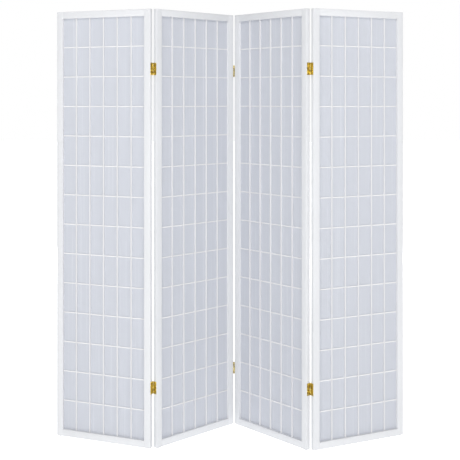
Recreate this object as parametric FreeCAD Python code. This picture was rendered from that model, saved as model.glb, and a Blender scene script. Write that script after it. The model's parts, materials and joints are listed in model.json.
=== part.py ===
"""Four-panel shoji folding screen: rebated timber frames, let-in lattice, paper and pinned butt hinges.

Millimetres. Seen from the front, +X is right, +Y is away from the viewer and +Z is up. The origin is
on the floor, under the middle of the screen's bounding box. A panel is first built flat in its own
axes: X along its width from the left edge, Y from its front face to its back, Z up from the floor.
"""

import FreeCAD
import Part
import math
import os

# frame of one panel
PANEL_WIDTH = 438.0
STILE_LENGTH = 1781.5
FRAME_THICKNESS = 19.0
STILE_FACE = 28.5
TOP_RAIL_FACE = 28.5
BOTTOM_RAIL_FACE = 28.5
EDGE_CHAMFER = 1.8

# rebate behind the frame's front lip
LIP_DEPTH = 5.0
REBATE_WIDTH = 8.0
REBATE_GAP = 0.3

# rail joints
TENON_THICKNESS = 7.0
TENON_HEIGHT = 14.0
TENON_LENGTH = 12.0
TENON_SHOULDER = 3.2
MORTISE_GAP = 0.1
MORTISE_END_GAP = 0.8

# lattice
UPRIGHT_COUNT = 5
CROSSBAR_COUNT = 13
SLAT_WIDTH = 5.0
UPRIGHT_DEPTH = 6.0
CROSSBAR_DEPTH = 3.0
HOUSING_GAP = 0.05
BORDER_WIDTH = 7.0

# paper and the beading behind it
PAPER_THICKNESS = 0.3
BEADING_WIDTH = 7.0
BEADING_DEPTH = 7.0

# nail-on glides
GLIDE_RADIUS = 6.5
GLIDE_HEIGHT = 2.5
GLIDE_TAPER = 1.0
GLIDE_SIDES = 8
NAIL_RADIUS = 1.0
NAIL_LENGTH = 12.0
NAIL_SIDES = 4
NAIL_TO_MORTISE = 0.5

# butt hinges
HINGE_LENGTH = 50.0
HINGE_FROM_END = 243.5
LEAF_THICKNESS = 1.2
LEAF_WIDTH = 18.5
PIN_RADIUS = 1.6
PIN_CLEARANCE = 0.05
KNUCKLE_GAP = 0.4
KNUCKLE_NOTCH_GAP = 0.4
KNUCKLE_COUNT = 3
KNUCKLE_SIDES = 12
PIN_FROM_EDGE = 2.4
PIN_FROM_FACE = 1.0

# hinge screws
SCREWS_PER_LEAF = 3
SCREW_SPACING = 17.0
SCREW_HEAD_RADIUS = 2.4
SCREW_SHANK_RADIUS = 1.3
SCREW_LENGTH = 14.0
SCREW_HOLE_GAP = 0.05
SCREW_SIDES = 6

# how each panel stands, as the turn of its width from +X, anticlockwise from above, in degrees
PANEL_TURNS = (-21.9, 44.5, -48.7, 25.9)

# sizes that follow from the ones above
INNER_WIDTH = PANEL_WIDTH - 2 * STILE_FACE
INNER_BOTTOM = BOTTOM_RAIL_FACE
INNER_TOP = STILE_LENGTH - TOP_RAIL_FACE
REBATE_LEFT = STILE_FACE - REBATE_WIDTH
REBATE_RIGHT = PANEL_WIDTH - REBATE_LEFT
REBATE_BOTTOM = INNER_BOTTOM - REBATE_WIDTH
REBATE_TOP = INNER_TOP + REBATE_WIDTH
LATTICE_BACK = LIP_DEPTH + UPRIGHT_DEPTH
PAPER_BACK = LATTICE_BACK + PAPER_THICKNESS
BORE_RADIUS = PIN_RADIUS + PIN_CLEARANCE
KNUCKLE_RADIUS = BORE_RADIUS + LEAF_THICKNESS
MID_THICKNESS = FRAME_THICKNESS / 2
HINGE_HEIGHTS = (HINGE_FROM_END, STILE_LENGTH - HINGE_FROM_END)


def box(x0, x1, y0, y1, z0, z1):
    """A box between two corners; each pair may come in either order."""
    low = FreeCAD.Vector(min(x0, x1), min(y0, y1), min(z0, z1))
    return Part.makeBox(abs(x1 - x0), abs(y1 - y0), abs(z1 - z0), low)


def along(axis, distance):
    """The vector of that length along X, Y or Z."""
    return FreeCAD.Vector(*[distance if axis == name else 0.0 for name in "XYZ"])


def prism(centre, axis, length, radius, end_radius, sides):
    """A straight or tapering solid of regular section along +axis, or -axis if length is negative."""
    direction = along(axis, length)
    frame = FreeCAD.Rotation(FreeCAD.Vector(0, 0, 1), direction)
    rings = []
    for offset, size in ((0.0, radius), (1.0, end_radius)):
        points = []
        for step in range(sides + 1):
            angle = 2 * math.pi * (step % sides + 0.5) / sides
            spoke = frame.multVec(FreeCAD.Vector(size * math.cos(angle), size * math.sin(angle), 0))
            points.append(centre + direction * offset + spoke)
        rings.append(Part.makePolygon(points))
    return Part.makeLoft(rings, True, True)


def eased(solid, chosen):
    """The solid with the chosen straight edges eased by a small chamfer."""
    edges = [edge for edge in solid.Edges if chosen(edge)]
    return solid.makeChamfer(EDGE_CHAMFER, edges)


def lies_along(edge, axis):
    """Whether a straight edge runs along X, Y or Z."""
    start, end = edge.Vertexes[0].Point, edge.Vertexes[1].Point
    run = end - start
    return abs(abs(run.dot(along(axis, 1.0))) - run.Length) < 1e-6


def mirrored(solid):
    """The same solid for the other side of the panel."""
    middle = FreeCAD.Vector(PANEL_WIDTH / 2, 0, 0)
    return solid.mirror(middle, FreeCAD.Vector(1, 0, 0))


def tenon(shoulder, side, rail_low, gap, end_gap):
    """A rail's tenon at a stile's inner edge, or its mortise where the gaps aren't zero.

    side is -1 for the left stile and 1 for the right one; rail_low is the tenon's lower face.
    """
    return box(
        shoulder,
        shoulder + side * (TENON_LENGTH + end_gap),
        MID_THICKNESS - TENON_THICKNESS / 2 - gap,
        MID_THICKNESS + TENON_THICKNESS / 2 + gap,
        rail_low - gap,
        rail_low + TENON_HEIGHT + gap,
    )


def tenon_heights():
    """The lower faces of the bottom rail's tenon and the top rail's."""
    return TENON_SHOULDER, STILE_LENGTH - TENON_SHOULDER - TENON_HEIGHT


def screw_places(side):
    """Where the screws of a leaf enter the stile's edge face, as (depth, height) pairs.

    side is "back" or "front", the face that the hinge's pin lies at.
    """
    reach = (LEAF_WIDTH + KNUCKLE_RADIUS) / 2
    depth = FRAME_THICKNESS + PIN_FROM_FACE - reach if side == "back" else reach - PIN_FROM_FACE
    places = []
    for height in HINGE_HEIGHTS:
        for row in range(SCREWS_PER_LEAF):
            places.append((depth, height + (row - (SCREWS_PER_LEAF - 1) / 2) * SCREW_SPACING))
    return places


def stile(pin_side):
    """The left stile; pin_side is "back", "front" or None where it carries no hinge."""
    blank = box(0, STILE_FACE, 0, FRAME_THICKNESS, 0, STILE_LENGTH)

    def outer(edge):
        middle = edge.CenterOfMass
        at_end = min(middle.z, STILE_LENGTH - middle.z) < 1e-6
        return middle.x < 1e-6 or (at_end and lies_along(edge, "X"))

    solid = eased(blank, outer)
    solid = solid.cut(box(REBATE_LEFT, STILE_FACE, LIP_DEPTH, FRAME_THICKNESS, REBATE_BOTTOM, REBATE_TOP))
    for low in tenon_heights():
        solid = solid.cut(tenon(STILE_FACE, -1, low, MORTISE_GAP, MORTISE_END_GAP))
    if pin_side:
        depth_in = SCREW_LENGTH - LEAF_THICKNESS + SCREW_HOLE_GAP
        radius = SCREW_SHANK_RADIUS + SCREW_HOLE_GAP
        for depth, height in screw_places(pin_side):
            mouth = FreeCAD.Vector(0, depth, height)
            solid = solid.cut(prism(mouth, "X", depth_in, radius, radius, SCREW_SIDES))
    socket_radius = NAIL_RADIUS + SCREW_HOLE_GAP
    socket = prism(glide_centre(), "Z", NAIL_LENGTH + SCREW_HOLE_GAP, socket_radius, socket_radius, NAIL_SIDES)
    return solid.cut(socket)


def rail(is_top):
    """A rail between the stiles, with a through rebate and a tenon at each end."""
    low, high = (INNER_TOP, STILE_LENGTH) if is_top else (0, INNER_BOTTOM)
    rim = STILE_LENGTH if is_top else 0
    blank = box(STILE_FACE, PANEL_WIDTH - STILE_FACE, 0, FRAME_THICKNESS, low, high)

    def outer(edge):
        return lies_along(edge, "X") and abs(edge.CenterOfMass.z - rim) < 1e-6

    solid = eased(blank, outer)
    rebate_low, rebate_high = (INNER_TOP, REBATE_TOP) if is_top else (REBATE_BOTTOM, INNER_BOTTOM)
    ends = (STILE_FACE, PANEL_WIDTH - STILE_FACE)
    solid = solid.cut(box(*ends, LIP_DEPTH, FRAME_THICKNESS, rebate_low, rebate_high))
    tenon_low = tenon_heights()[1 if is_top else 0]
    for shoulder, side in zip(ends, (-1, 1)):
        solid = solid.fuse(tenon(shoulder, side, tenon_low, 0, 0))
    return solid.removeSplitter()


def strip_frame(width, front, back):
    """Four strips round the rebate's walls: two full-height uprights and two between them."""
    left = REBATE_LEFT + REBATE_GAP
    right = REBATE_RIGHT - REBATE_GAP
    bottom = REBATE_BOTTOM + REBATE_GAP
    top = REBATE_TOP - REBATE_GAP
    return [
        box(left, left + width, front, back, bottom, top),
        box(right - width, right, front, back, bottom, top),
        box(left + width, right - width, front, back, bottom, bottom + width),
        box(left + width, right - width, front, back, top - width, top),
    ]


def slat_centres(start, length, count):
    """Centres of slats that leave equal clear gaps in an opening."""
    clear = (length - count * SLAT_WIDTH) / (count + 1)
    pitch = clear + SLAT_WIDTH
    return [start + clear + SLAT_WIDTH / 2 + pitch * place for place in range(count)]


def lattice():
    """The upright slats and the crossbars that are let into housings across their backs."""
    across = slat_centres(STILE_FACE, INNER_WIDTH, UPRIGHT_COUNT)
    up = slat_centres(INNER_BOTTOM, INNER_TOP - INNER_BOTTOM, CROSSBAR_COUNT)
    inset = REBATE_GAP + BORDER_WIDTH
    half = SLAT_WIDTH / 2
    low, high = REBATE_BOTTOM + inset, REBATE_TOP - inset
    left, right = REBATE_LEFT + inset, REBATE_RIGHT - inset
    housing_front = LATTICE_BACK - CROSSBAR_DEPTH
    uprights = []
    for x in across:
        slat = box(x - half, x + half, LIP_DEPTH, LATTICE_BACK, low, high)
        housings = [
            box(x - half, x + half, housing_front, LATTICE_BACK, z - half - HOUSING_GAP, z + half + HOUSING_GAP)
            for z in up
        ]
        uprights.append(slat.cut(housings))
    crossbars = [box(left, right, housing_front, LATTICE_BACK, z - half, z + half) for z in up]
    return uprights, crossbars


def paper():
    """The sheet glued across the back of the lattice and its border."""
    return box(
        REBATE_LEFT + REBATE_GAP,
        REBATE_RIGHT - REBATE_GAP,
        LATTICE_BACK,
        PAPER_BACK,
        REBATE_BOTTOM + REBATE_GAP,
        REBATE_TOP - REBATE_GAP,
    )


def glide_centre():
    """Where the nail enters the left stile's foot, just outside the end of the mortise."""
    mortise_end = STILE_FACE - TENON_LENGTH - MORTISE_END_GAP
    return FreeCAD.Vector(mortise_end - NAIL_TO_MORTISE - NAIL_RADIUS, MID_THICKNESS, 0)


def glide():
    """A nail-on glide under the left stile: a tapered pad and its nail."""
    pad = prism(glide_centre(), "Z", -GLIDE_HEIGHT, GLIDE_RADIUS, GLIDE_RADIUS - GLIDE_TAPER, GLIDE_SIDES)
    nail = prism(glide_centre(), "Z", NAIL_LENGTH, NAIL_RADIUS, NAIL_RADIUS, NAIL_SIDES)
    return pad.fuse(nail)


def screw(depth, height, edge, side):
    """A countersunk screw through a leaf into a stile's edge face.

    edge is the edge face's X, and side the way out of the wood along X.
    """
    face = FreeCAD.Vector(edge + side * LEAF_THICKNESS, depth, height)
    head = prism(face, "X", -side * LEAF_THICKNESS, SCREW_HEAD_RADIUS, SCREW_SHANK_RADIUS, SCREW_SIDES)
    neck = FreeCAD.Vector(edge, depth, height)
    reach = -side * (SCREW_LENGTH - LEAF_THICKNESS)
    shank = prism(neck, "X", reach, SCREW_SHANK_RADIUS, SCREW_SHANK_RADIUS, SCREW_SIDES)
    return head.fuse(shank).removeSplitter()


def hinge_leaf(edge, side, pin_side, height, own_knuckles):
    """One leaf on a stile's edge face, with its share of the knuckles.

    edge is the edge face's X, side the way out of the wood, pin_side "back" or "front", height the
    hinge's middle and own_knuckles the knuckles that this leaf rolls round the pin, from below.
    """
    pin_x, pin_y = edge + side * PIN_FROM_EDGE, pin_depth(pin_side)
    inward = -1 if pin_side == "back" else 1
    low = height - HINGE_LENGTH / 2
    plate = box(
        edge, edge + side * LEAF_THICKNESS, pin_y, pin_y + inward * LEAF_WIDTH, low, low + HINGE_LENGTH
    )
    pitch = (HINGE_LENGTH + KNUCKLE_GAP) / KNUCKLE_COUNT
    barrels = []
    for place in range(KNUCKLE_COUNT):
        start = low + place * pitch
        if place in own_knuckles:
            foot = FreeCAD.Vector(pin_x, pin_y, start)
            length = pitch - KNUCKLE_GAP
            barrels.append(prism(foot, "Z", length, KNUCKLE_RADIUS, KNUCKLE_RADIUS, KNUCKLE_SIDES))
        else:
            room = inward * (KNUCKLE_RADIUS + KNUCKLE_NOTCH_GAP)
            notch_low = max(start - KNUCKLE_GAP, low)
            notch_high = min(start + pitch, low + HINGE_LENGTH)
            notch = box(edge, edge + side * LEAF_THICKNESS, pin_y, pin_y + room, notch_low, notch_high)
            plate = plate.cut(notch)
    leaf = plate.fuse(barrels)
    bore_foot = FreeCAD.Vector(pin_x, pin_y, low)
    leaf = leaf.cut(Part.makeCylinder(BORE_RADIUS, HINGE_LENGTH, bore_foot))
    for depth, place in screw_places(pin_side):
        if abs(place - height) < HINGE_LENGTH / 2:
            face = FreeCAD.Vector(edge + side * LEAF_THICKNESS, depth, place)
            wide, narrow = SCREW_HEAD_RADIUS + SCREW_HOLE_GAP, SCREW_SHANK_RADIUS + SCREW_HOLE_GAP
            leaf = leaf.cut(prism(face, "X", -side * LEAF_THICKNESS, wide, narrow, SCREW_SIDES))
    return leaf.removeSplitter()


def pin_depth(pin_side):
    """Y of a hinge pin that lies just outside the panel's back or front face."""
    return FRAME_THICKNESS + PIN_FROM_FACE if pin_side == "back" else -PIN_FROM_FACE


def hinge_pin(pin_side, height):
    """The pin of a hinge on a panel's right edge."""
    foot = FreeCAD.Vector(PANEL_WIDTH + PIN_FROM_EDGE, pin_depth(pin_side), height - HINGE_LENGTH / 2)
    return Part.makeCylinder(PIN_RADIUS, HINGE_LENGTH, foot)


def panel_pieces(left_pin, right_pin):
    """Every piece of one panel but its hinges, by name, as lists of solids."""
    uprights, crossbars = lattice()
    screws = []
    if left_pin:
        screws += [screw(depth, height, 0, -1) for depth, height in screw_places(left_pin)]
    if right_pin:
        screws += [screw(depth, height, PANEL_WIDTH, 1) for depth, height in screw_places(right_pin)]
    return {
        "left_stile": [stile(left_pin)],
        "right_stile": [mirrored(stile(right_pin))],
        "top_rail": [rail(True)],
        "bottom_rail": [rail(False)],
        "lattice_border": strip_frame(BORDER_WIDTH, LIP_DEPTH, LATTICE_BACK),
        "lattice_uprights": uprights,
        "lattice_crossbars": crossbars,
        "paper": [paper()],
        "paper_beading": strip_frame(BEADING_WIDTH, PAPER_BACK, PAPER_BACK + BEADING_DEPTH),
        "hinge_screws": screws,
        "feet": [glide(), mirrored(glide())],
    }


def turned(turn, vector):
    """A plan vector turned anticlockwise from above."""
    return FreeCAD.Rotation(FreeCAD.Vector(0, 0, 1), turn).multVec(vector)


def panel_corners(pin_sides):
    """Each panel's front left foot on the plan, joined at the pins, the first panel's at 0, 0."""
    corners = [FreeCAD.Vector(0, 0, 0)]
    for number, pin_side in enumerate(pin_sides):
        depth = pin_depth(pin_side)
        to_pin = turned(PANEL_TURNS[number], FreeCAD.Vector(PANEL_WIDTH + PIN_FROM_EDGE, depth, 0))
        from_pin = turned(PANEL_TURNS[number + 1], FreeCAD.Vector(PIN_FROM_EDGE, -depth, 0))
        corners.append(corners[-1] + to_pin + from_pin)
    return corners


def build():
    """All pieces in place, by node name, and the hinge axes by joint name."""
    pin_sides = ("back", "front", "back")
    corners = panel_corners(pin_sides)
    lift = FreeCAD.Vector(0, 0, GLIDE_HEIGHT)
    pieces = {}

    def place(name, number, solids):
        where = FreeCAD.Placement(
            corners[number] + lift, FreeCAD.Rotation(FreeCAD.Vector(0, 0, 1), PANEL_TURNS[number])
        )
        placed = []
        for solid in solids:
            moved = solid.copy()
            moved.transformShape(where.toMatrix(), True)
            placed.append(moved)
        pieces.setdefault(name, []).extend(placed)

    for number in range(len(PANEL_TURNS)):
        left_pin = pin_sides[number - 1] if number else None
        right_pin = pin_sides[number] if number < len(pin_sides) else None
        for name, solids in panel_pieces(left_pin, right_pin).items():
            place("panel_%d_%s" % (number + 1, name), number, solids)
    outer_knuckles = range(0, KNUCKLE_COUNT, 2)
    inner_knuckles = range(1, KNUCKLE_COUNT, 2)
    for number, pin_side in enumerate(pin_sides):
        hinge = "hinge_%d_%d" % (number + 1, number + 2)
        left = [hinge_leaf(PANEL_WIDTH, 1, pin_side, height, outer_knuckles) for height in HINGE_HEIGHTS]
        right = [hinge_leaf(0, -1, pin_side, height, inner_knuckles) for height in HINGE_HEIGHTS]
        place(hinge + "_left_leaves", number, left)
        place(hinge + "_right_leaves", number + 1, right)
        place(hinge + "_pins", number, [hinge_pin(pin_side, height) for height in HINGE_HEIGHTS])
    axes = {}
    for number, pin_side in enumerate(pin_sides):
        pin = FreeCAD.Vector(PANEL_WIDTH + PIN_FROM_EDGE, pin_depth(pin_side), 0)
        axes["fold_%d_%d" % (number + 1, number + 2)] = corners[number] + turned(PANEL_TURNS[number], pin)
    return pieces, axes


def centred(pieces, axes):
    """The same with the origin under the middle of the bounding box."""
    whole = FreeCAD.BoundBox()
    for solids in pieces.values():
        for solid in solids:
            whole.add(solid.optimalBoundingBox(False, False))
    shift = FreeCAD.Vector(-whole.Center.x, -whole.Center.y, 0)
    for solids in pieces.values():
        for solid in solids:
            solid.translate(shift)
    return {name: axis + shift for name, axis in axes.items()}


def main():
    """Build the screen, write one file per node and print the hinge axes."""
    os.makedirs("parts", exist_ok=True)
    pieces, axes = build()
    axes = centred(pieces, axes)
    for name, solids in pieces.items():
        shape = solids[0] if len(solids) == 1 else Part.makeCompound(solids)
        shape.exportStep("parts/%s.step" % name)
    for name, axis in axes.items():
        print("%s axis at x %.4f y %.4f" % (name, axis.x, axis.y))


main()
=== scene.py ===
"""Looks of a four-panel shoji folding screen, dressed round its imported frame.

Metres, in the frame's own axes: seen from the front, +X is right, +Y away from the viewer and +Z up. Each
panel also has axes of its own: X across from its left edge, Y from its front face to its back and Z up
from the floor. Members are made in those axes and then stood where the panel stands.
"""

import json
import logging
import math
from collections.abc import Callable, Sequence
from dataclasses import dataclass, field
from enum import Enum
from functools import cache

import bmesh
import bpy
import numpy as np
from mathutils import Matrix, Vector


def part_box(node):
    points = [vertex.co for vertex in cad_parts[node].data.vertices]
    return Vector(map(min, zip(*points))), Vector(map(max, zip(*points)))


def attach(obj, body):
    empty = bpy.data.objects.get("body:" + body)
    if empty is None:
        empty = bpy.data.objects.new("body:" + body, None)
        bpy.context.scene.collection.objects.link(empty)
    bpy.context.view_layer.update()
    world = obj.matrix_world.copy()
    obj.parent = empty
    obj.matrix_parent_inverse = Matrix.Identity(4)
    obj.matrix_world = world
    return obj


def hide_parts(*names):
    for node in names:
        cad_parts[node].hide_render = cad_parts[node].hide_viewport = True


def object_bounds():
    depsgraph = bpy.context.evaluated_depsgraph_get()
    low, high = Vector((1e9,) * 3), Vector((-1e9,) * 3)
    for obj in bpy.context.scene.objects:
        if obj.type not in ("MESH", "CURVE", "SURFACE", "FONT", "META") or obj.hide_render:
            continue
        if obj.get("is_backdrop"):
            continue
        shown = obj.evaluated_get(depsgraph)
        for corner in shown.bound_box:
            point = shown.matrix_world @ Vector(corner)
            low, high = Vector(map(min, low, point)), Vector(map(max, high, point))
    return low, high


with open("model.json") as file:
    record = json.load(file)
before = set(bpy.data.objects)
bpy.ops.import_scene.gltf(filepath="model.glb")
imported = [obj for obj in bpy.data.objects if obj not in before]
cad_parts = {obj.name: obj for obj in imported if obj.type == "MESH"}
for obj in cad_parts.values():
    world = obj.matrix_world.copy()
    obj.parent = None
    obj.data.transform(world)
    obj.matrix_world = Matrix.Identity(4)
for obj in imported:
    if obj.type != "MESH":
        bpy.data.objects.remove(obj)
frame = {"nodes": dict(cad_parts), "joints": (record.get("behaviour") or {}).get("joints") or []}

CAD_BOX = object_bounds()
PANEL_NUMBERS = (1, 2, 3, 4)
MM = 0.001
SMOOTH_ANGLE = math.radians(38)
GRAIN = "grain"
GRAIN_SPREAD = 40.0
SEED = 20
MERGE_DISTANCE = 0.01 * MM
CUT_PAST = 2.0 * MM
HALF = 0.5

log = logging.getLogger("shoji_screen")

Triple = tuple[float, float, float]
Colour = Triple


class Face(Enum):
    """The side of a panel, as the way its Y points out of the wood."""

    FRONT = -1
    BACK = 1


class Run(Enum):
    """The way a member's grain runs in its panel's axes."""

    UP = "up"
    ACROSS = "across"


class Cut(Enum):
    """What a second solid does to the first."""

    TAKE = "DIFFERENCE"
    ADD = "UNION"


class Guide(Enum):
    """What a finish lays its pattern along."""

    STORED = "the grain stored in a dressed mesh"
    OBJECT = "the object's own coordinates, for a packed mesh that stores no grain"


# ---------------------------------------------------------------- meshes


def evaluated_mesh(obj: bpy.types.Object) -> bpy.types.Mesh:
    """The plain mesh that an object's modifiers give; the object and its own mesh are removed.

    Args:
        obj: an object linked to the scene, with its modifiers set up.

    Returns:
        A mesh with the modifiers applied.
    """
    graph = bpy.context.evaluated_depsgraph_get()
    mesh = bpy.data.meshes.new_from_object(obj.evaluated_get(graph))
    source = obj.data
    bpy.data.objects.remove(obj)
    bpy.data.meshes.remove(source)
    return mesh


def linked(name: str, mesh: bpy.types.Mesh) -> bpy.types.Object:
    """A new scene object with a mesh.

    Args:
        name: the object's name.
        mesh: its mesh.

    Returns:
        The object.
    """
    obj = bpy.data.objects.new(name, mesh)
    bpy.context.scene.collection.objects.link(obj)
    return obj


def mesh_from(vertices: Sequence[Sequence[float]], faces: Sequence[Sequence[int]]) -> bpy.types.Mesh:
    """A closed mesh with its faces turned outwards.

    Args:
        vertices: its points.
        faces: each face as the numbers of its points.

    Returns:
        The mesh.
    """
    mesh = bpy.data.meshes.new("shape")
    mesh.from_pydata([tuple(point) for point in vertices], [], [tuple(face) for face in faces])
    outward(mesh)
    return mesh


def outward(mesh: bpy.types.Mesh) -> None:
    """Turn a closed mesh's faces outwards.

    Args:
        mesh: the mesh, which is changed.
    """
    shape = bmesh.new()
    shape.from_mesh(mesh)
    bmesh.ops.recalc_face_normals(shape, faces=shape.faces)
    shape.to_mesh(mesh)
    shape.free()


def box_mesh(low: Sequence[float], high: Sequence[float]) -> bpy.types.Mesh:
    """A plain box, used as a cutter or as the start of an eased member.

    Args:
        low: the lowest corner.
        high: the highest corner.

    Returns:
        The box.
    """
    corners = [
        (x, y, z) for x in (low[0], high[0]) for y in (low[1], high[1]) for z in (low[2], high[2])
    ]
    faces = [(0, 1, 3, 2), (4, 6, 7, 5), (0, 4, 5, 1), (2, 3, 7, 6), (0, 2, 6, 4), (1, 5, 7, 3)]
    return mesh_from(corners, faces)


def eased_box(
    low: Sequence[float],
    high: Sequence[float],
    easing: Callable[[Vector, Vector], float],
    segments: int = 3,
) -> bpy.types.Mesh:
    """A box with each edge rounded by its own radius.

    Args:
        low: the lowest corner.
        high: the highest corner.
        easing: gives an edge's radius from its middle, as shares of the box, and its direction.
        segments: the steps round each eased edge.

    Returns:
        The eased box as a plain mesh.
    """
    mesh = box_mesh(low, high)
    start, size = Vector(low), Vector(high) - Vector(low)
    radii = []
    for edge in mesh.edges:
        ends = [mesh.vertices[index].co for index in edge.vertices]
        middle = (ends[0] + ends[1]) / 2 - start
        share = Vector(middle[axis] / size[axis] for axis in range(3))
        radii.append(easing(share, (ends[1] - ends[0]).normalized()))
    widest = max(radii)
    weights = mesh.attributes.new("bevel_weight_edge", "FLOAT", "EDGE")
    weights.data.foreach_set("value", [radius / widest for radius in radii])
    obj = linked("eased", mesh)
    bevel = obj.modifiers.new("easing", "BEVEL")
    bevel.limit_method = "WEIGHT"
    bevel.width = widest
    bevel.segments = segments
    return evaluated_mesh(obj)


def carved(base: bpy.types.Mesh, tools: Sequence[tuple[Cut, bpy.types.Mesh]]) -> bpy.types.Mesh:
    """One solid with others cut from it or added to it, in order.

    Args:
        base: the mesh to work on; it is used up.
        tools: each step and its closed mesh; the meshes are used up.

    Returns:
        The resulting plain mesh.
    """
    obj = linked("carved", base)
    helpers = []
    for step, tool in tools:
        helper = linked("tool", tool)
        helpers.append(helper)
        boolean = obj.modifiers.new("step", "BOOLEAN")
        boolean.operation = step.value
        boolean.solver = "EXACT"
        boolean.object = helper
    mesh = evaluated_mesh(obj)
    for helper in helpers:
        source = helper.data
        bpy.data.objects.remove(helper)
        bpy.data.meshes.remove(source)
    return mesh


def joined(meshes: Sequence[bpy.types.Mesh]) -> bpy.types.Mesh:
    """Several shells as one mesh.

    Args:
        meshes: the shells; they are used up.

    Returns:
        The one mesh.
    """
    shape = bmesh.new()
    for mesh in meshes:
        shape.from_mesh(mesh)
        bpy.data.meshes.remove(mesh)
    result = bpy.data.meshes.new("joined")
    shape.to_mesh(result)
    shape.free()
    return result


def turned_mesh(profile: Sequence[tuple[float, float]], sides: int) -> bpy.types.Mesh:
    """A solid turned about Z.

    Args:
        profile: (radius, height) pairs from one end of the axis to the other; both ends are on the axis.
        sides: the steps round the axis.

    Returns:
        A closed mesh.
    """
    points: list[tuple[float, float, float]] = [(0.0, 0.0, profile[0][1])]
    rings = profile[1:-1]
    for radius, height in rings:
        for step in range(sides):
            angle = 2 * math.pi * step / sides
            points.append((radius * math.cos(angle), radius * math.sin(angle), height))
    points.append((0.0, 0.0, profile[-1][1]))
    faces: list[tuple[int, ...]] = []
    last = len(points) - 1
    for step in range(sides):
        after = (step + 1) % sides
        faces.append((0, 1 + after, 1 + step))
        for ring in range(len(rings) - 1):
            base = 1 + ring * sides
            faces.append((base + step, base + after, base + sides + after, base + sides + step))
        base = 1 + (len(rings) - 1) * sides
        faces.append((last, base + step, base + after))
    return mesh_from(points, faces)


def store_grain(mesh: bpy.types.Mesh, run: Run, name: str) -> None:
    """Store where each point lies along and across the grain, for the finishes to read.

    Args:
        mesh: a mesh in its panel's axes.
        run: the way the grain runs; it becomes the pattern's Z.
        name: moves the pattern by an amount of its own, so that no two members look alike.
    """
    offset = np.random.default_rng([SEED, *name.encode()]).uniform(0.0, GRAIN_SPREAD, 3)
    count = len(mesh.vertices)
    place = np.empty(count * 3, dtype=np.float32)
    mesh.vertices.foreach_get("co", place)
    place = place.reshape(count, 3)
    if run is Run.ACROSS:
        place = place[:, (2, 1, 0)]
    place = place + offset.astype(np.float32)
    grain = mesh.attributes.new(GRAIN, "FLOAT_VECTOR", "POINT")
    grain.data.foreach_set("vector", np.ascontiguousarray(place).ravel())


def finished(
    node: str, ending: str, mesh: bpy.types.Mesh, place: Matrix, finish: "Finish", body: str
) -> bpy.types.Object:
    """Stand a mesh in its place as a finished piece that rides on a body and stands for a CAD node.

    Args:
        node: the node that it replaces.
        ending: what the piece's name adds to the node's.
        mesh: the mesh in its own axes, with its grain stored.
        place: the way from those axes to the frame's.
        finish: the finish that it gets.
        body: the body that it rides on.

    Returns:
        The piece's object, at the origin with its place in its mesh.
    """
    name = f"{node}_{ending}"
    mesh.transform(place)
    mesh.name = name
    mesh.materials.clear()
    mesh.materials.append(finish.material())
    mesh.shade_smooth()
    mesh.set_sharp_from_angle(angle=SMOOTH_ANGLE)
    piece = linked(name, mesh)
    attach(piece, body)
    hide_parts(node)
    log.info("%s: %d faces on %s", name, len(mesh.polygons), body)
    return piece


# ---------------------------------------------------------------- finishes


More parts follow.
